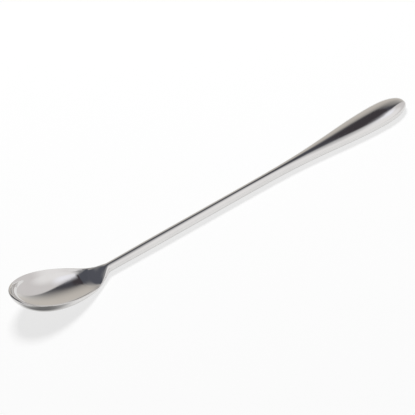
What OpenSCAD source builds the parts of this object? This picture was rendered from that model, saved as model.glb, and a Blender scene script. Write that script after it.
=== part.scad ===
// Iced tea spoon: a pressed bowl, a turned stem and a hollow grip made of two half shells.
// Millimetres, +Z up. The spoon lies on z = 0, with its tip towards -X and its grip towards +X.
// Every station along the spoon is measured from the tip and moved to the middle at the end.

/* [Overall] */
// Length of the spoon, from the tip to the end of the grip
spoon_l = 200; // [185:1:220]
// Clearance around a piece that slides into another one
fit_gap = 0.05; // [0.02:0.01:0.1]

/* [Bowl] */
// Length of the bowl, from the tip to the heel
bowl_l = 44.8; // [41:0.1:50]
// Width of the bowl over its lip
bowl_w = 24; // [20:0.5:28]
// From the tip back to the widest place of the bowl
wide_l = 17.1; // [15:0.1:20]
// Depth of the outside below the edge of the lip
bowl_d = 7.4; // [6.6:0.1:8.6]
// From the tip back to the deepest place of the outside below the lip
deep_l = 12.1; // [10:0.1:14.5]
// From the tip back to the deepest place of the hollow below the lip
hollow_deep_l = 12.1; // [10:0.1:14.5]
// Fall of the lip towards the neck, in degrees
lip_tilt = 21.4; // [17:0.1:24]
// Thickness of the metal under the deepest place of the hollow
bowl_wall = 1.9; // [1.6:0.1:2.3]
// Least depth of the outside below the lip, at the heel
heel_wall = 1.2; // [1:0.1:1.6]
// Width of the lip
lip_w = 1; // [0.7:0.1:1.4]
// Height of the rounded top of the lip above its edge
lip_crown = 0.3; // [0.15:0.05:0.5]
// Depth by which the hollow fades out above the heel
hollow_fade = 1.4; // [0.9:0.1:1.7]
// Depth that is polished flat under the bowl, so that the spoon lies still
flat_d = 0.06; // [0.04:0.01:0.12]

/* [Neck] */
// Diameter of the neck at its narrowest place, where the stem is brazed on
neck_dia = 4.1; // [3.5:0.1:4.3]
// From the heel of the bowl to the narrowest place
heel_to_neck = 0.5; // [0.5:0.1:2]
// Length over which the hollow turns into the round neck
neck_blend_l = 12.9; // [11:0.1:16]
// Length of the neck's root under the bowl, in front of the heel
neck_root_l = 22; // [18:0.5:26]
// Length over which that root reaches the full neck width
neck_root_rise_l = 16; // [12:0.5:18]

/* [Stem] */
// Diameter of the stem between the neck and the grip
stem_dia = 4.4; // [4.3:0.1:4.8]
// Length over which the neck swells to the stem
stem_rise_l = 22; // [14:1:26]
// Diameter of the spigot in the neck
spigot_dia = 1.6; // [1.2:0.1:1.8]
// Length of the spigot
spigot_l = 3; // [2:0.25:3.5]
// Length of the tang inside the grip
tang_l = 52; // [45:1:60]
// Chamfer on the ends of the spigot and of the tang
end_chamfer = 0.3; // [0.1:0.05:0.4]

/* [Grip] */
// Length of the grip, from its joint with the stem to its end
grip_l = 96.4; // [88:0.2:106]
// Width of the grip at its widest place
grip_w = 13; // [11.5:0.1:15]
// Thickness of the grip at its widest place
grip_t = 5.6; // [5.3:0.1:6.4]
// From the widest place to the end of the grip
grip_end_l = 14; // [11:0.1:18]
// Thickness of the metal of the half shells
shell_wall = 0.7; // [0.5:0.05:0.8]
// Length of the tang's end that the filler holds
filler_hold_l = 25; // [20:1:28]
// Length of the filler
filler_l = 30; // [29:1:34]

/* [Curves] */
// Bluntness of the bowl's tip seen from above, from 0.5 for a round one upwards
plan_tip_power = 0.505; // [0.5:0.005:0.7]
// Bluntness of the keel's front seen from the side
keel_tip_power = 0.515; // [0.4:0.005:0.6]
// Bluntness of the hollow's front seen from the side
hollow_tip_power = 0.405; // [0.35:0.005:0.5]
// Shape of the outside seen along the spoon, where 1 is an ellipse and less is fuller
section_power = 0.75; // [0.7:0.01:1]
// Shape of the hollow seen along the spoon, where 1 is an ellipse and less is fuller
hollow_power = 0.8; // [0.7:0.01:1]
// Sharpness of the corner between the bowl and the neck
neck_corner = 2.25; // [2:0.05:4]
// Lateness of the grip's swelling in width
width_flare_power = 2.45; // [1.8:0.05:3.2]
// Lateness of the grip's swelling in thickness
thick_flare_power = 1.95; // [1.2:0.05:2.4]
// Squareness of the grip's end seen from above, where 2 is an ellipse
width_end_power = 2.2; // [2:0.05:3]
// Squareness of the grip's end seen from the side, where 2 is an ellipse
thick_end_power = 2.35; // [2:0.05:3]
// Squareness of the grip's section at its widest place, where 2 is an ellipse
grip_section_power = 2.55; // [2:0.05:3]

/* [Hidden] */

// How finely the curves are cut
front_steps = 12;
rear_steps = 26;
low_steps = 24;
hollow_steps = 24;
lip_steps = 2;
rise_steps = 10;
flare_steps = 18;
end_steps = 7;
arc_steps = 16;
filler_steps = 8;
round_steps = 48;

// Places along the spoon, measured from the tip
neck_x = bowl_l + heel_to_neck;
grip_x = spoon_l - grip_l;
stem_l = grip_x - neck_x;
grip_wide_x = spoon_l - grip_end_l;
tang_end_x = grip_x + tang_l;
filler_x = tang_end_x - filler_hold_l;

// Sizes that follow from the others
bowl_half = bowl_w / 2;
neck_r = neck_dia / 2;
stem_r = stem_dia / 2;
spigot_r = spigot_dia / 2;
tang_r = stem_r - shell_wall - fit_gap;
axis_z = grip_t / 2;
lip_fall = tan(lip_tilt);
overrun = bowl_d;

function clamped(t) = min(1, max(0, t));

function eased(t) = (1 - cos(180 * clamped(t))) / 2;

function mixed(a, b, t) = a + (b - a) * t;

// Egg curve along the bowl: 0 at the tip and at the heel, and 1 at the place top_x
function egg(x, top_x, tip_power) =
    let (
        along = clamped(x / bowl_l),
        top_share = top_x / bowl_l,
        heel_power = tip_power * (1 - top_share) / top_share
    )
    pow(along / top_share, tip_power) * pow((1 - along) / (1 - top_share), heel_power);

// Half width of the bowl by itself at station x
function plan_half(x) = bowl_half * egg(x, wide_l, plan_tip_power);

// Half width of the neck's root at station x
function root_half(x) = neck_r * eased((x - bowl_l + neck_root_l) / neck_root_rise_l);

// Half width of the bowl and its neck together at station x
function half_width(x) =
    pow(pow(plan_half(x), neck_corner) + pow(root_half(x), neck_corner), 1 / neck_corner);

// A depth below the lip at station x, no less than the metal's thickness at the heel
function thickened(depth, x, top_x) =
    let (least = heel_wall * clamped(x / top_x))
    pow(pow(depth, 4) + pow(least, 4), 1 / 4);

// Depth of the keel below the lip at station x
function keel_depth(x) = thickened(bowl_d * egg(x, deep_l, keel_tip_power), x, deep_l);

// A depth that fades out to zero instead of turning negative
function faded(depth) = (depth + sqrt(depth * depth + hollow_fade * hollow_fade)) / 2;

// Depth of the hollow below the lip at station x
function hollow_depth(x) =
    let (
        bare = bowl_d * egg(x, hollow_deep_l, hollow_tip_power),
        depth = thickened(bare, x, hollow_deep_l)
    )
    x < hollow_deep_l
    ? depth / bowl_d * faded(bowl_d - bowl_wall)
    : faded(depth - bowl_wall);

// Width of the lip at station x
function lip_at(x) = x < wide_l ? lip_w * half_width(x) / bowl_half : lip_w;

// How far the section at station x has turned from the bowl into the round neck
function neck_part(x) = eased((x - neck_x + neck_blend_l) / neck_blend_l);

bowl_stations = concat(
    [for (i = [0 : front_steps]) wide_l * (1 - cos(90 * i / front_steps))],
    [for (i = [1 : rear_steps]) mixed(wide_l, neck_x, i / rear_steps)]
);

// Height that the lip's edge has at the tip when the underside at station x is at the table, less
// what is polished off
function tip_height(x) =
    let (g = neck_part(x))
    lip_fall * x + keel_depth(x) - ((axis_z - neck_r) * g + flat_d) / (1 - g);

// Height of the lip's edge at the tip, such that only the lowest place is at the table
tip_z = max([for (x = bowl_stations) if (neck_part(x) < 1) tip_height(x)]);

// Height of the lip's outer edge at station x, under the lip's rounded top
function lip_z(x) = tip_z - lip_fall * x;

// Underside of the section at station x, from the near lip to the far lip
function under_points(x) = [
    for (i = [0 : low_steps])
    let (
        a = 180 * i / low_steps,
        w = half_width(x),
        in_bowl = lip_z(x) - keel_depth(x) * pow(sin(a), section_power),
        in_neck = axis_z - neck_r * sin(a)
    )
    [x, -w * cos(a), mixed(in_bowl, in_neck, neck_part(x))]
];

// Number of points on the top of a section, without the two outer edges
top_count = 2 * lip_steps + hollow_steps - 1;

// Share of the lip's width at which top point i lies, 1 at the edge of the hollow
function lip_share(i) = min(1, i / lip_steps, (top_count + 1 - i) / lip_steps);

// Turn of top point i across the hollow, 0 at its far edge and 180 at its near edge
function hollow_turn(i) = 180 * clamped((i - lip_steps) / hollow_steps);

// Top of the section at station x, from the far lip to the near lip
function top_points(x) = [
    for (i = [1 : top_count])
    let (
        w = half_width(x),
        share = lip_share(i),
        side = 2 * i > top_count + 1 ? -1 : 1,
        turn = hollow_turn(i),
        w_in = w - lip_at(x) * share,
        y_bowl = share < 1 ? side * w_in : w_in * cos(turn),
        z_bowl = lip_z(x) + lip_crown * sin(180 * share)
            - hollow_depth(x) * pow(sin(turn), hollow_power),
        neck_turn = 180 * i / (top_count + 1),
        y_neck = w * cos(neck_turn),
        z_neck = axis_z + neck_r * sin(neck_turn),
        x_shift = lip_w * share * pow(max(0, 1 - x / wide_l), 2),
        g = neck_part(x)
    )
    [x + x_shift, mixed(y_bowl, y_neck, g), mixed(z_bowl, z_neck, g)]
];

// How far the grip has swollen at station x, from 0 at the stem to 1 at the widest place
function swelling(x) = eased((x - grip_x) / (grip_wide_x - grip_x));

// Half width and half thickness of the grip at station x
function grip_half_w(x) = mixed(stem_r, grip_w / 2, pow(swelling(x), width_flare_power));
function grip_half_t(x) = mixed(stem_r, grip_t / 2, pow(swelling(x), thick_flare_power));

// Point of the grip's section at station x and turn a: 0 at the near edge, 90 at the top
function grip_point(x, half_w, half_t, a) =
    let (shape = 2 / mixed(2, grip_section_power, swelling(x)))
    [x, -half_w * sign(cos(a)) * pow(abs(cos(a)), shape),
        axis_z + half_t * sign(sin(a)) * pow(abs(sin(a)), shape)];

// Half of a section on one side of the seam
function arch(x, half_w, half_t, side, turned) = [
    for (i = [0 : arc_steps])
    grip_point(x, half_w, half_t, side * 180 * (turned ? arc_steps - i : i) / arc_steps)
];

// Closed section of the half shell on one side of the seam, before the widest place
function flare_ring(x, side) = concat(
    arch(x, grip_half_w(x), grip_half_t(x), side, false),
    arch(x, grip_half_w(x) - shell_wall, grip_half_t(x) - shell_wall, side, true)
);

// Closed section of the half shell behind the widest place, at a turn from 0 to 90
function end_ring(turn, side) =
    let (
        along = pow(sin(turn), 2 / width_end_power),
        across_w = pow(cos(turn), 2 / width_end_power),
        across_t = pow(max(0, 1 - pow(along, thick_end_power)), 1 / thick_end_power)
    )
    concat(
        arch(grip_wide_x + grip_end_l * along, grip_w / 2 * across_w, grip_t / 2 * across_t,
            side, false),
        arch(grip_wide_x + (grip_end_l - shell_wall) * along,
            (grip_w / 2 - shell_wall) * across_w, (grip_t / 2 - shell_wall) * across_t,
            side, true)
    );

// Section of the filler, just inside the shells
function filler_ring(x) = [
    for (i = [0 : 2 * arc_steps - 1])
    let (inset = shell_wall + fit_gap)
    grip_point(x, grip_half_w(x) - inset, grip_half_t(x) - inset, -180 * i / arc_steps)
];

// Flat cap over the closed section that starts at a point, as pairs of triangles across it
function cap(start, count, at_start) = [
    for (k = [0 : floor(count / 2) - 2])
    let (
        a = start + k,
        b = start + k + 1,
        c = start + count - 2 - k,
        d = start + count - 1 - k
    )
    each at_start ? [[a, d, c], [a, c, b]] : [[a, b, c], [a, c, d]]
];

// Solid through a row of closed sections; faces that have shrunk to a line are left out
module skin(rings, start_cap = true, end_cap = true) {
    count = len(rings[0]);
    last = len(rings) - 1;
    points = [for (ring = rings) each ring];
    sides = [
        for (i = [0 : last - 1])
        for (j = [0 : count - 1])
        let (
            a = i * count + j,
            b = i * count + (j + 1) % count,
            c = a + count,
            d = b + count
        )
        each [[a, b, d], [a, d, c]]
    ];
    solid_sides = [
        for (f = sides)
        if (points[f[0]] != points[f[1]] && points[f[1]] != points[f[2]]
            && points[f[2]] != points[f[0]])
        f
    ];
    start_faces = start_cap ? cap(0, count, true) : [];
    end_faces = end_cap ? cap(last * count, count, false) : [];
    polyhedron(points, concat(solid_sides, start_faces, end_faces), convexity = 6);
}

// Moves a piece from stations measured from the tip to the middle of the spoon
module centred() {
    translate([-spoon_l / 2, 0, 0]) children();
}

// Turns a piece that was made along +Z so that it lies along the spoon from station x
module along_axis(x) {
    translate([x, 0, axis_z]) rotate([0, 90, 0]) children();
}

module bowl() {
    rings = [for (x = bowl_stations) concat(under_points(x), top_points(x))];
    color("silver")
    centred()
    difference() {
        skin(rings, start_cap = false);
        along_axis(neck_x - spigot_l - fit_gap)
            cylinder(h = spigot_l + overrun, r = spigot_r + fit_gap, $fn = round_steps);
        translate([-overrun, -bowl_w, -overrun])
            cube([neck_x + overrun, 2 * bowl_w, overrun]);
    }
}

module stem() {
    rise = [
        for (i = [0 : rise_steps])
        [mixed(neck_r, stem_r, eased(i / rise_steps)), stem_rise_l * i / rise_steps]
    ];
    outline = concat(
        [
            [0, -spigot_l],
            [spigot_r - end_chamfer, -spigot_l],
            [spigot_r, end_chamfer - spigot_l],
            [spigot_r, 0]
        ],
        rise,
        [
            [stem_r, stem_l],
            [tang_r, stem_l],
            [tang_r, stem_l + tang_l - end_chamfer],
            [tang_r - end_chamfer, stem_l + tang_l],
            [0, stem_l + tang_l]
        ]
    );
    color("silver")
    centred()
    along_axis(neck_x)
        rotate_extrude($fn = round_steps) polygon(outline);
}

// Half shell on one side of the seam: 1 is above it, -1 is below it
module half_shell(side) {
    rings = concat(
        [for (i = [0 : flare_steps]) flare_ring(mixed(grip_x, grip_wide_x, i / flare_steps), side)],
        [for (i = [1 : end_steps]) end_ring(90 * i / end_steps, side)]
    );
    turned = [for (ring = rings) [for (j = [len(ring) - 1 : -1 : 0]) ring[j]]];
    centred() skin(side < 0 ? rings : turned, end_cap = false);
}

module grip_upper_shell() {
    color("silver") half_shell(1);
}

module grip_lower_shell() {
    color("silver") half_shell(-1);
}

module grip_filler() {
    rings = [for (i = [0 : filler_steps]) filler_ring(filler_x + filler_l * i / filler_steps)];
    color("dimgray")
    centred()
    difference() {
        skin(rings);
        along_axis(filler_x - overrun)
            cylinder(h = overrun + filler_hold_l + fit_gap, r = tang_r + fit_gap, $fn = round_steps);
    }
}

bowl();
stem();
grip_upper_shell();
grip_lower_shell();
grip_filler();
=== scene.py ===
"""Iced tea spoon of mirror-polished steel on a white table, in a plain studio.

Metres throughout. Stations along the spoon are measured from the tip and are moved by half the
length when the meshes are made.
"""
import math

import bmesh
import bpy
from mathutils import Matrix, Vector


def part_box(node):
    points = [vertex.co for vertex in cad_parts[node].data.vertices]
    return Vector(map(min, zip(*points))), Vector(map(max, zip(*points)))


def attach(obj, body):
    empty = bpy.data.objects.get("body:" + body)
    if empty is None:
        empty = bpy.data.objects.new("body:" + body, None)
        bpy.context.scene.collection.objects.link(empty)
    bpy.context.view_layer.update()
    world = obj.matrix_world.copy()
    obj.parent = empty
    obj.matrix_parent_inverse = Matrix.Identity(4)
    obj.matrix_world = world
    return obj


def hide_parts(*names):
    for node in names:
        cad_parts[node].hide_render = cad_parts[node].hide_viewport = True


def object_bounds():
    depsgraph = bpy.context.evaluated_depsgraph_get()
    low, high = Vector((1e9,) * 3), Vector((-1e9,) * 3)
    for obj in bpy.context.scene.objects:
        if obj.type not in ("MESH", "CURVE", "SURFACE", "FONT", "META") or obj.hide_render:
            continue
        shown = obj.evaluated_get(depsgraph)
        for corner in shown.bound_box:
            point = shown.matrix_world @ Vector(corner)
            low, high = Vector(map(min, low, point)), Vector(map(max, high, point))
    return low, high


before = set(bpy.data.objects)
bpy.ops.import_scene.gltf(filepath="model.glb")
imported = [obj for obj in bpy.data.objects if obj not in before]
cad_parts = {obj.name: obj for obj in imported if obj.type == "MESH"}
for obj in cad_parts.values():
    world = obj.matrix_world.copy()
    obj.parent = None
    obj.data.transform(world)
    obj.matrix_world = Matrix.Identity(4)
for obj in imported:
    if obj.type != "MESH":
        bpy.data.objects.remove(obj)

cad_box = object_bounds()

# Sizes that the frame gives
cad_low, cad_high = cad_box
bowl_low, bowl_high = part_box("bowl")
stem_low, stem_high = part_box("stem")
shell_low, shell_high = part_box("grip_lower_shell")
spoon_l = cad_high.x - cad_low.x
bowl_w = bowl_high.y - bowl_low.y
neck_x = bowl_high.x - cad_low.x
stem_dia = stem_high.z - stem_low.z
axis_z = (stem_high.z + stem_low.z) / 2
grip_x = shell_low.x - cad_low.x
grip_w = shell_high.y - shell_low.y
grip_t = 2 * (shell_high.z - shell_low.z)

# Sizes of the bowl, whose lip falls from the tip towards the neck. wide_l is the station of its
# widest place, and deep_l and hollow_deep_l are those of the deepest places, outside and inside.
bowl_l = 0.0448
wide_l = 0.0171
bowl_d = 0.0074
deep_l = 0.0121
hollow_deep_l = 0.0121
lip_fall = math.tan(math.radians(21.4))
bowl_wall = 0.0019
heel_wall = 0.0012
hollow_fade = 0.0014

# Sizes of the lip. Its crest takes up a share of its width, and from there the rim slopes down to
# the wall of the hollow. Between tip_rim_l and the tip this changes into a plain round ridge.
lip_w = 0.001
lip_crown = 0.0003
lip_crest_share = 0.2
lip_buffing = 0.0002
rim_slope = math.tan(math.radians(60))
tip_rim_l = 0.009

# Sizes of the neck, the stem and the grip
neck_dia = 0.0041
neck_blend_l = 0.0145
neck_root_l = 0.022
neck_root_rise_l = 0.016
stem_rise_l = 0.022
spigot_dia = 0.0016
spigot_l = 0.003
tang_l = 0.052
end_chamfer = 0.0003
grip_end_l = 0.014
shell_wall = 0.0007
fit_gap = 0.00005
seam_w = 0.00008
buffed_l = 0.006

# Powers of the curves
plan_tip_power = 0.505
keel_tip_power = 0.515
hollow_tip_power = 0.405
section_power = 0.75
hollow_power = 0.8
heel_power = 4
neck_corner = 2.25
width_flare_power = 2.45
thick_flare_power = 1.95
width_end_power = 2.2
thick_end_power = 2.35
grip_section_power = 2.55

# How finely the curves are cut
front_steps = 60
rear_steps = 120
low_steps = 96
hollow_steps = 112
lip_steps = 16
rise_steps = 44
stem_steps = 24
flare_steps = 120
end_steps = 64
arc_steps = 64
round_steps = 128
buff_steps = 12
wall_halvings = 40

# Sizes that follow from the others
bowl_half = bowl_w / 2
neck_r = neck_dia / 2
stem_r = stem_dia / 2
spigot_r = spigot_dia / 2
tang_r = stem_r - shell_wall - fit_gap
grip_wide_x = spoon_l - grip_end_l

# Angle of the neck's round that each lip turns into, and what the meshes join, drop and keep sharp
lip_turn = math.pi / 14
joined_within = 1e-7
dropped_under = 1e-8
sharp_over = math.radians(40)


def clamped(t):
    return min(1.0, max(0.0, t))


def eased(t):
    return (1 - math.cos(math.pi * clamped(t))) / 2


def gently_eased(t):
    """Like eased, but with zero curvature at both ends, so that the polish shows no crease."""
    t = clamped(t)
    return t**3 * (10 - 15 * t + 6 * t**2)


def mixed(a, b, t):
    return a + (b - a) * t


def egg(x, top_x, tip_power):
    """0 at the tip and at the heel of the bowl, and 1 at the station top_x."""
    along = clamped(x / bowl_l)
    top_share = top_x / bowl_l
    end_power = tip_power * (1 - top_share) / top_share
    return (along / top_share) ** tip_power * ((1 - along) / (1 - top_share)) ** end_power


def half_width(x):
    """Half width of the bowl and its neck together."""
    plan_half = bowl_half * egg(x, wide_l, plan_tip_power)
    root_half = neck_r * eased((x - bowl_l + neck_root_l) / neck_root_rise_l)
    return (plan_half**neck_corner + root_half**neck_corner) ** (1 / neck_corner)


def thickened(depth, x, top_x):
    """A depth below the lip, no less than the metal's thickness at the heel."""
    least = heel_wall * clamped(x / top_x)
    return (depth**heel_power + least**heel_power) ** (1 / heel_power)


def keel_depth(x):
    """Depth of the outside below the lip."""
    return thickened(bowl_d * egg(x, deep_l, keel_tip_power), x, deep_l)


def faded(depth):
    """A depth that fades out to zero instead of turning negative."""
    return (depth + math.sqrt(depth**2 + hollow_fade**2)) / 2


def hollow_depth(x):
    """Depth of the hollow below the lip."""
    depth = thickened(bowl_d * egg(x, hollow_deep_l, hollow_tip_power), x, hollow_deep_l)
    if x < hollow_deep_l:
        return depth / bowl_d * faded(bowl_d - bowl_wall)
    return faded(depth - bowl_wall)


def lip_at(x):
    """Width of the lip."""
    return lip_w * half_width(x) / bowl_half if x < wide_l else lip_w


def wall_start(depth, half_in):
    """Where the hollow's wall gets less steep than the rim: how far in from the lip, how deep."""
    low, high = 0.0, math.pi / 2
    for _ in range(wall_halvings):
        turn = (low + high) / 2
        fall = hollow_power * depth * math.cos(turn) * math.sin(turn) ** (hollow_power - 2)
        if fall / half_in > rim_slope:
            low = turn
        else:
            high = turn
    return half_in * (1 - math.cos(turn)), depth * math.sin(turn) ** hollow_power


def rim_height(inward, lip, wall_at, wall_drop):
    """Height of the lip's rounded crest and of the even slope down to the hollow's wall."""
    to_crest = max(0.0, 1 - inward / (lip * lip_crest_share)) if lip else 0.0
    crest = lip_crown * math.sqrt(1 - to_crest**2)
    slope = rim_slope * (lip + wall_at - inward) - wall_drop
    nearness = max(0.0, 1 - abs(crest - slope) / lip_buffing)
    return min(crest, slope) - nearness**2 * lip_buffing / 4


def neck_part(x):
    """How far the section has turned from the bowl into the round neck."""
    return gently_eased((x - neck_x + neck_blend_l) / neck_blend_l)


bowl_stations = [
    wide_l * (1 - math.cos(math.pi / 2 * i / front_steps)) for i in range(front_steps + 1)
]
bowl_stations += [mixed(wide_l, neck_x, (i + 1) / rear_steps) for i in range(rear_steps)]
tip_z = bowl_high.z - cad_low.z - lip_crown


def under_points(x):
    """Underside of the bowl's section, from the near lip to the far lip."""
    w = half_width(x)
    g = neck_part(x)
    points = []
    for i in range(low_steps + 1):
        a = math.pi * i / low_steps
        in_bowl = tip_z - lip_fall * x - keel_depth(x) * abs(math.sin(a)) ** section_power
        in_neck = axis_z - neck_r * math.sin(a)
        points.append((x, -w * math.cos(a), max(0.0, mixed(in_bowl, in_neck, g))))
    return points


def top_points(x):
    """Top of the bowl's section, over the far lip, the hollow and the near lip."""
    w = half_width(x)
    g = neck_part(x)
    lip = lip_at(x)
    depth = hollow_depth(x)
    wall_at, wall_drop = wall_start(depth, w - lip) if w > lip else (0.0, 0.0)
    count = 2 * lip_steps + hollow_steps
    points = []
    for i in range(1, count):
        step = min(i, count - i)
        share = (1 - math.cos(math.pi * min(1.0, step / lip_steps))) / 2
        side = -1 if 2 * i > count else 1
        turn = math.pi * clamped((i - lip_steps) / hollow_steps)
        on_lip = step < lip_steps
        y_bowl = side * (w - lip * share) if on_lip else (w - lip) * math.cos(turn)
        inward = w - abs(y_bowl)
        if on_lip:
            height = lip_crown * math.sqrt(max(0.0, 1 - (2 * share - 1) ** 2))
        else:
            height = -depth * abs(math.sin(turn)) ** hollow_power
        if inward < lip + wall_at:
            on_rim = rim_height(inward, lip, wall_at, wall_drop)
            height = mixed(height, on_rim, eased(x / tip_rim_l))
        if on_lip:
            neck_turn = lip_turn * share if side > 0 else math.pi - lip_turn * share
        else:
            neck_turn = mixed(lip_turn, math.pi - lip_turn, turn / math.pi)
        x_shift = lip_w * share * max(0.0, 1 - x / wide_l) ** 2
        y = mixed(y_bowl, w * math.cos(neck_turn), g)
        z = mixed(tip_z - lip_fall * x + height, axis_z + neck_r * math.sin(neck_turn), g)
        points.append((x + x_shift, y, z))
    return points


def skin(name, rings, start_cap=True, end_cap=True):
    """Mesh object through a row of closed sections, with smooth shading and sharp ends."""
    count = len(rings[0])
    verts = [(x - spoon_l / 2, y, z) for ring in rings for x, y, z in ring]
    faces = []
    for i in range(len(rings) - 1):
        for j in range(count):
            a = i * count + j
            b = i * count + (j + 1) % count
            faces.append((a, b, b + count, a + count))
    if start_cap:
        faces.append(tuple(range(count - 1, -1, -1)))
    if end_cap:
        last = (len(rings) - 1) * count
        faces.append(tuple(range(last, last + count)))
    mesh = bpy.data.meshes.new(name)
    mesh.from_pydata(verts, [], faces)
    work = bmesh.new()
    work.from_mesh(mesh)
    bmesh.ops.remove_doubles(work, verts=work.verts, dist=joined_within)
    bmesh.ops.dissolve_degenerate(work, edges=work.edges, dist=dropped_under)
    bmesh.ops.recalc_face_normals(work, faces=work.faces)
    work.to_mesh(mesh)
    work.free()
    mesh.shade_smooth()
    mesh.set_sharp_from_angle(angle=sharp_over)
    piece = bpy.data.objects.new(name, mesh)
    bpy.context.collection.objects.link(piece)
    return piece


def placed(piece, node, material):
    """Puts a finished piece in the place of its CAD node."""
    piece.data.materials.clear()
    piece.data.materials.append(material)
    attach(piece, "root")
    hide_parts(node)


def make_bowl():
    """Bowl with its neck, open at the tip, where the sections end in a point."""
    rings = [under_points(x) + top_points(x) for x in bowl_stations]
    return skin("bowl_polished", rings, start_cap=False)


def make_stem():
    """Round stem with a spigot and a tang, as sections across its axis."""
    outline = [
        (-spigot_l, 0.0),
        (-spigot_l, spigot_r - end_chamfer),
        (end_chamfer - spigot_l, spigot_r),
        (0.0, spigot_r),
    ]
    for i in range(rise_steps + 1):
        share = i / rise_steps
        outline.append((stem_rise_l * share, mixed(neck_r, stem_r, eased(share))))
    stem_l = grip_x - neck_x
    for i in range(1, stem_steps + 1):
        outline.append((mixed(stem_rise_l, stem_l, i / stem_steps), stem_r))
    outline += [
        (stem_l, tang_r),
        (stem_l + tang_l - end_chamfer, tang_r),
        (stem_l + tang_l, tang_r - end_chamfer),
        (stem_l + tang_l, 0.0),
    ]
    rings = []
    for along, r in outline:
        ring = []
        for i in range(round_steps):
            a = 2 * math.pi * i / round_steps
            ring.append((neck_x + along, -r * math.cos(a), axis_z - r * math.sin(a)))
        rings.append(ring)
    return skin("stem_polished", rings, start_cap=False, end_cap=False)


def swelling(x):
    """How far the grip has swollen, from 0 at the stem to 1 at the widest place."""
    return eased((x - grip_x) / (grip_wide_x - grip_x))


def rounded(value, power):
    """A power that keeps the sign."""
    return math.copysign(abs(value) ** power, value)


def arch(x, half_w, half_t, side):
    """Half of a section of the grip on one side of the seam, from the near edge to the far edge."""
    shape = 2 / mixed(2, grip_section_power, swelling(x))
    points = []
    for i in range(arc_steps + 1):
        a = math.pi * i / arc_steps
        y = -half_w * rounded(math.cos(a), shape)
        points.append((x, y, axis_z + side * half_t * rounded(math.sin(a), shape)))
    return points


def shell_section(outer, inner, side):
    """Section of a half shell; outer and inner are a station, a half width and a half thickness."""
    outside = arch(*outer, side)
    for i in (0, arc_steps):
        x, y, z = outside[i]
        outside[i] = (x, math.copysign(max(0.0, abs(y) - seam_w), y), z)
    return outside + arch(*inner, side)[::-1]


def grip_half(x, full_half, flare_power, end_power):
    """Half width or half thickness of the grip at a station."""
    if x <= grip_wide_x:
        return mixed(stem_r, full_half, swelling(x) ** flare_power)
    along = min(1.0, (x - grip_wide_x) / grip_end_l)
    return full_half * (1 - along**end_power) ** (1 / end_power)


def grip_half_polished(x, *shape):
    """The same, with the change from flare to end buffed out over buffed_l on both sides."""
    reach = min(buffed_l, (x - grip_x) / 2, (spoon_l - x) / 2)
    total = 0.0
    weights = 0.0
    for i in range(-buff_steps, buff_steps + 1):
        weight = (1 - (i / (buff_steps + 1)) ** 2) ** 2
        total += weight * grip_half(x + reach * i / buff_steps, *shape)
        weights += weight
    return total / weights


def make_shell(name, side):
    """Half shell of the grip above the seam, with side 1, or below it, with side -1."""
    stations = [mixed(grip_x, grip_wide_x, i / flare_steps) for i in range(flare_steps)]
    for i in range(end_steps + 1):
        stations.append(grip_wide_x + grip_end_l * math.sin(math.pi / 2 * i / end_steps))
    rings = []
    for x in stations:
        half_w = grip_half_polished(x, grip_w / 2, width_flare_power, width_end_power)
        half_t = grip_half_polished(x, grip_t / 2, thick_flare_power, thick_end_power)
        wall_w = shell_wall * clamped(half_w / tang_r)
        wall_t = shell_wall * clamped(half_t / tang_r)
        inner = (min(x, spoon_l - shell_wall), half_w - wall_w, half_t - wall_t)
        rings.append(shell_section((x, half_w, half_t), inner, side))
    return skin(name, rings, end_cap=False)


class Graph:
    """Short way to write a node tree."""

    def __init__(self, tree):
        self.tree = tree

    def feed(self, socket, value):
        if isinstance(value, bpy.types.NodeSocket):
            self.tree.links.new(value, socket)
        else:
            socket.default_value = value

    def node(self, kind, inputs, **settings):
        node = self.tree.nodes.new(kind)
        for name, value in settings.items():
            setattr(node, name, value)
        for name, value in inputs.items():
            self.feed(node.inputs[name], value)
        return node

    def maths(self, operation, *values):
        return self.node("ShaderNodeMath", dict(enumerate(values)), operation=operation).outputs[0]

    def dot(self, a, b):
        product = self.node("ShaderNodeVectorMath", {0: a, 1: b}, operation="DOT_PRODUCT")
        return product.outputs["Value"]

    def place(self):
        """Sockets of the coordinates X, Y and Z in the part's own frame."""
        place = self.node("ShaderNodeTexCoord", {}).outputs["Object"]
        return self.node("ShaderNodeSeparateXYZ", {"Vector": place}).outputs

    def smooth_step(self, value, start, end):
        """Rises smoothly from 0 at start to 1 at end."""
        inputs = {"Value": value, "From Min": start, "From Max": end}
        return self.node("ShaderNodeMapRange", inputs, interpolation_type="SMOOTHSTEP").outputs[0]

    def placed_noise(self, turn_deg, waves_along, waves_across, detail):
        """Noise in the part's own coordinates, turned from X, with so many waves per metre."""
        place = self.node("ShaderNodeTexCoord", {}).outputs["Object"]
        turned = self.node("ShaderNodeMapping", {
            "Vector": place,
            "Rotation": (0, 0, math.radians(turn_deg)),
            "Scale": (waves_along, waves_across, waves_across),
        }).outputs[0]
        return self.node("ShaderNodeTexNoise", {
            "Vector": turned, "Scale": 1.0, "Detail": detail,
        }).outputs[0]

    def blend(self, share, first, second):
        """Colour between two others."""
        return self.node("ShaderNodeMix", {
            "Factor": share, "A": first, "B": second,
        }, data_type="RGBA").outputs["Result"]


# Colours of the materials
steel_colour = (0.72, 0.71, 0.70)
smudge_colour = (0.70, 0.69, 0.68)
dark_cement = (0.24, 0.24, 0.25)
pale_cement = (0.36, 0.36, 0.37)

# Marks in the surfaces: turn from X in degrees, waves per metre along and across, detail
hairline_noise = (0, 70, 4200, 3)
slanted_noise = (27, 160, 5200, 2)
crossed_noise = (-41, 210, 6100, 2)
smudge_noise = (10, 90, 130, 2)
neck_noise = (52, 260, 3000, 3)
cement_noise = (0, 2600, 2600, 6)

# The noise at which each kind of mark begins and is full, and how far those of the neck reach
slanted_range = (0.66, 0.74)
crossed_range = (0.67, 0.75)
smudge_range = (0.42, 0.7)
neck_marks_range = (0.012, 0.002)

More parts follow.
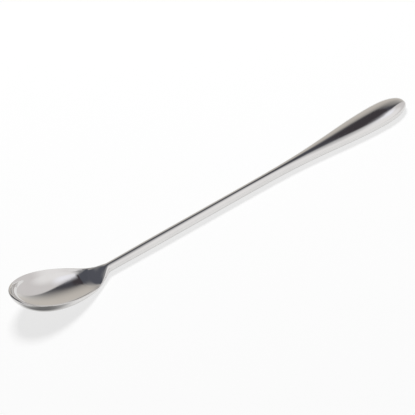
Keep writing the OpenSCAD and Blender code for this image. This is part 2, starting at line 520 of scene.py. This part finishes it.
# How rough the materials are, and what each kind of mark adds
steel_roughness = 0.025
smudge_roughness = 0.02
scratch_roughness = 0.05
hairline_roughness = 0.02
neck_mark_roughness = 0.12
cement_roughness = 0.75
cement_grain_roughness = 0.2

# How deep the marks are, the scratches' depth as a share of the hairlines'
scratch_relief = 0.6
steel_relief_d = 0.00001
cement_relief = 0.6
cement_relief_d = 0.0001


def new_material(name):
    material = bpy.data.materials.new(name)
    material.use_nodes = True
    return material, Graph(material.node_tree), material.node_tree.nodes["Principled BSDF"]


def polished_steel(name, hairline, neck_marks=0.0):
    """Mirror-polished stainless steel with hairlines, stray scratches and faint smudges."""
    material, graph, shader = new_material(name)
    lines = graph.placed_noise(*hairline_noise)
    slanted = graph.smooth_step(graph.placed_noise(*slanted_noise), *slanted_range)
    crossed = graph.smooth_step(graph.placed_noise(*crossed_noise), *crossed_range)
    scratches = graph.maths("MAXIMUM", slanted, crossed)
    smudges = graph.smooth_step(graph.placed_noise(*smudge_noise), *smudge_range)
    relief = graph.maths("ADD", lines, graph.maths("MULTIPLY", scratches, scratch_relief))
    roughness = graph.maths("MULTIPLY_ADD", smudges, smudge_roughness, steel_roughness)
    roughness = graph.maths("MULTIPLY_ADD", scratches, scratch_roughness, roughness)
    roughness = graph.maths("MULTIPLY_ADD", lines, hairline_roughness, roughness)
    if neck_marks:
        from_neck = graph.maths("SUBTRACT", graph.place()[0], neck_x - spoon_l / 2)
        near = graph.smooth_step(graph.maths("ABSOLUTE", from_neck), *neck_marks_range)
        marks = graph.maths("MULTIPLY", graph.placed_noise(*neck_noise), near)
        relief = graph.maths("MULTIPLY_ADD", marks, neck_marks, relief)
        roughness = graph.maths("MULTIPLY_ADD", marks, neck_mark_roughness, roughness)
    bump = graph.node("ShaderNodeBump", {
        "Height": relief, "Strength": hairline, "Distance": steel_relief_d,
    })
    tarnish = graph.blend(smudges, (*steel_colour, 1), (*smudge_colour, 1))
    graph.feed(shader.inputs["Base Color"], tarnish)
    graph.feed(shader.inputs["Roughness"], roughness)
    graph.feed(shader.inputs["Normal"], bump.outputs[0])
    shader.inputs["Metallic"].default_value = 1.0
    return material


def cement():
    """Cast grey cement of the plug inside the grip."""
    material, graph, shader = new_material("filler")
    grain = graph.placed_noise(*cement_noise)
    colour = graph.blend(grain, (*dark_cement, 1), (*pale_cement, 1))
    roughness = graph.maths("MULTIPLY_ADD", grain, cement_grain_roughness, cement_roughness)
    bump = graph.node("ShaderNodeBump", {
        "Height": grain, "Strength": cement_relief, "Distance": cement_relief_d,
    })
    graph.feed(shader.inputs["Base Color"], colour)
    graph.feed(shader.inputs["Roughness"], roughness)
    graph.feed(shader.inputs["Normal"], bump.outputs[0])
    return material


bowl_steel = polished_steel("bowl_steel", 0.25, neck_marks=1.5)
stem_steel = polished_steel("stem_steel", 0.35)
grip_steel = polished_steel("grip_steel", 0.25)
placed(make_bowl(), "bowl", bowl_steel)
placed(make_stem(), "stem", stem_steel)
placed(make_shell("grip_upper_polished", 1), "grip_upper_shell", grip_steel)
placed(make_shell("grip_lower_polished", -1), "grip_lower_shell", grip_steel)
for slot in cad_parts["grip_filler"].material_slots:
    slot.material = cement()


def direction(azimuth, elevation):
    """Unit vector, with the azimuth counted from +Y towards +X."""
    return Vector((
        math.sin(azimuth) * math.cos(elevation),
        math.cos(azimuth) * math.cos(elevation),
        math.sin(elevation),
    ))


# Camera, as the photograph was taken
camera_azimuth = math.radians(25.6)
camera_elevation = math.radians(44.03)
camera_roll = math.radians(-10.9)
camera_distance = 0.8414
camera_target = Vector((-0.00494, 0, 0.00497))
camera_lens_mm = 170.9
camera_sensor_mm = 36

towards = Vector((
    -math.sin(camera_azimuth) * math.cos(camera_elevation),
    -math.cos(camera_azimuth) * math.cos(camera_elevation),
    math.sin(camera_elevation),
))
right = Vector((math.cos(camera_azimuth), -math.sin(camera_azimuth), 0))
up = towards.cross(right)
turned_right = math.cos(camera_roll) * right + math.sin(camera_roll) * up
turned_up = math.cos(camera_roll) * up - math.sin(camera_roll) * right
camera_data = bpy.data.cameras.new("camera")
camera_data.lens = camera_lens_mm
camera_data.sensor_width = camera_sensor_mm
camera = bpy.data.objects.new("camera", camera_data)
bpy.context.collection.objects.link(camera)
place = Matrix((turned_right, turned_up, towards)).transposed().to_4x4()
place.translation = camera_target + towards * camera_distance
camera.matrix_world = place
bpy.context.scene.camera = camera


# Studio. The steel is a mirror, so its look is the look of the studio: a pale room with soft-edged
# panels. Each is given by its direction from the spoon (azimuth from +Y towards +X, and elevation),
# its roll, its half width and half height in degrees, the softness of its edge and its colour. A
# later panel hangs in front of an earlier one.
room_colour = (0.92, 0.92, 0.92)
fill_colour = (0.3, 0.3, 0.3)
panel_corner = 3.0
least_ahead = 0.001


def studio_light(graph):
    """Colour that the steel mirrors from each direction."""
    toward = graph.node("ShaderNodeTexCoord", {}).outputs["Generated"]
    seen = (*room_colour, 1)

    def panel(azimuth, elevation, roll, half_w, half_h, soft, colour):
        nonlocal seen
        az, el, turn = (math.radians(angle) for angle in (azimuth, elevation, roll))
        middle = direction(az, el)
        side = Vector((math.cos(az), -math.sin(az), 0))
        top = side.cross(middle)
        across = math.cos(turn) * side + math.sin(turn) * top
        along = math.cos(turn) * top - math.sin(turn) * side
        ahead = graph.maths("MAXIMUM", graph.dot(toward, middle), least_ahead)
        sizes = []
        for axis, half in ((across, half_w), (along, half_h)):
            offset = graph.maths("ABSOLUTE", graph.dot(toward, axis))
            reach = graph.maths("DIVIDE", offset, ahead)
            reach = graph.maths("DIVIDE", reach, math.tan(math.radians(half)))
            sizes.append(graph.maths("POWER", reach, panel_corner))
        out = graph.maths("POWER", graph.maths("ADD", *sizes), 1 / panel_corner)
        mask = graph.smooth_step(out, 1 + soft, 1 - soft)
        seen = graph.blend(mask, seen, (*colour, 1))

    panel(19, 52, 27, 48.4, 38.7, 0.91, (0.046, 0.047, 0.058))
    panel(122, 28, 31, 53.0, 56.9, 0.06, (0.788, 0.766, 0.767))
    panel(-105, 80, 27, 65.3, 31.3, 0.05, (0.287, 0.288, 0.298))
    panel(43, 0, 38, 18.8, 52.0, 0.88, (0.69, 0.65, 0.6))
    panel(33, 52, -12, 10.0, 10.5, 0.5, (0.075, 0.074, 0.088))
    panel(0, 62, 0, 24.0, 18.0, 0.5, (0.098, 0.104, 0.125))
    panel(44, 55, 54, 16.9, 3.3, 0.14, (0.061, 0.054, 0.061))
    panel(145, 39, 42, 19.9, 46.5, 0.59, (1.021, 1.011, 1.015))
    panel(77, 61, 23, 13.5, 4.4, 0.87, (1.098, 1.107, 1.176))
    panel(-20, 42, 48, 6.4, 12.5, 0.4, (0.1, 0.107, 0.129))
    panel(-28, 44, 0, 14.0, 12.0, 0.5, (0.105, 0.11, 0.132))
    return seen


world = bpy.data.worlds.new("studio")
world.use_nodes = True
sky = Graph(world.node_tree)
background = world.node_tree.nodes["Background"]
rays = sky.node("ShaderNodeLightPath", {}).outputs
lit = sky.blend(rays["Is Glossy Ray"], (*fill_colour, 1), studio_light(sky))
sky.feed(background.inputs["Color"], sky.blend(rays["Is Camera Ray"], lit, (1, 1, 1, 1)))
bpy.context.scene.world = world

# Floor. It glows by itself for the camera and for the steel, so that it renders nearly white and
# still keeps a faint shadow. In front of the bowl a painted shade darkens it for the steel only.
# It stands in for the shadow that the steel mirrors there. The painted shade's edge towards the
# bowl is slanted. Its edges fade in between the two places given.
floor_half_w = 20
floor_colour = (0.9, 0.9, 0.9)
floor_glow = 0.7
paper_roughness = 0.8
painted_shade_darkness = 0.78
painted_shade_slant = 0.5
painted_shade_edge_range = (-0.001, -0.011)
painted_shade_middle_l = 0.005
painted_shade_half_w_range = (0.032, 0.002)


def painted_floor_shade(graph):
    """How much painted shade darkens the floor in front of the bowl, as only the steel sees it."""
    place = graph.place()
    from_tip = graph.maths("ADD", place[0], spoon_l / 2)
    slanted = graph.maths("MULTIPLY_ADD", from_tip, painted_shade_slant, place[1])
    in_front = graph.smooth_step(slanted, *painted_shade_edge_range)
    sideways = graph.maths("ABSOLUTE", graph.maths("SUBTRACT", from_tip, painted_shade_middle_l))
    beside = graph.smooth_step(sideways, *painted_shade_half_w_range)
    return graph.maths("MULTIPLY", graph.maths("MULTIPLY", in_front, beside), painted_shade_darkness)


def make_floor():
    """White paper that the spoon lies on."""
    half = floor_half_w
    corners = [(-half, -half, 0), (half, -half, 0), (half, half, 0), (-half, half, 0)]
    mesh = bpy.data.meshes.new("floor")
    mesh.from_pydata(corners, [], [(0, 1, 2, 3)])
    floor = bpy.data.objects.new("floor", mesh)
    bpy.context.collection.objects.link(floor)
    material, graph, shader = new_material("floor_paper")
    rays = graph.node("ShaderNodeLightPath", {}).outputs
    shown = graph.maths("MAXIMUM", rays["Is Camera Ray"], rays["Is Glossy Ray"])
    # Painted shade in front of the bowl: the floor's colour and glow are darkened for the steel's
    # reflection rays only.
    shade_seen_by_steel = graph.maths("MULTIPLY", painted_floor_shade(graph), rays["Is Glossy Ray"])
    bright = graph.maths("SUBTRACT", 1.0, shade_seen_by_steel)
    glowing_colour = (*(part * (1 - floor_glow) for part in floor_colour), 1)
    paper = graph.blend(shown, (*floor_colour, 1), glowing_colour)
    graph.feed(shader.inputs["Base Color"], graph.blend(bright, (0, 0, 0, 1), paper))
    shader.inputs["Roughness"].default_value = paper_roughness
    shader.inputs["Specular IOR Level"].default_value = 0.0
    shader.inputs["Emission Color"].default_value = (1, 1, 1, 1)
    glow = graph.maths("MULTIPLY", graph.maths("MULTIPLY", shown, bright), floor_glow)
    graph.feed(shader.inputs["Emission Strength"], glow)
    mesh.materials.append(material)


# Lamp, in metres and watts
lamp_azimuth = math.radians(30)
lamp_elevation = math.radians(68)
lamp_distance = 1.2
lamp_w = 0.4
lamp_power = 12.0


def hang_lamp():
    """Soft lamp over the far side, for the floor; the steel mirrors the panels instead."""
    toward = direction(lamp_azimuth, lamp_elevation)
    turned = toward.to_track_quat("Z", "Y").to_matrix().to_4x4()
    light = bpy.data.lights.new("key_lamp", "AREA")
    light.shape = "SQUARE"
    light.size = lamp_w
    light.energy = lamp_power
    lamp = bpy.data.objects.new("key_lamp", light)
    bpy.context.collection.objects.link(lamp)
    lamp.visible_glossy = False
    lamp.matrix_world = Matrix.Translation(toward * lamp_distance) @ turned


make_floor()
hang_lamp()
bpy.context.scene.view_settings.view_transform = "Standard"
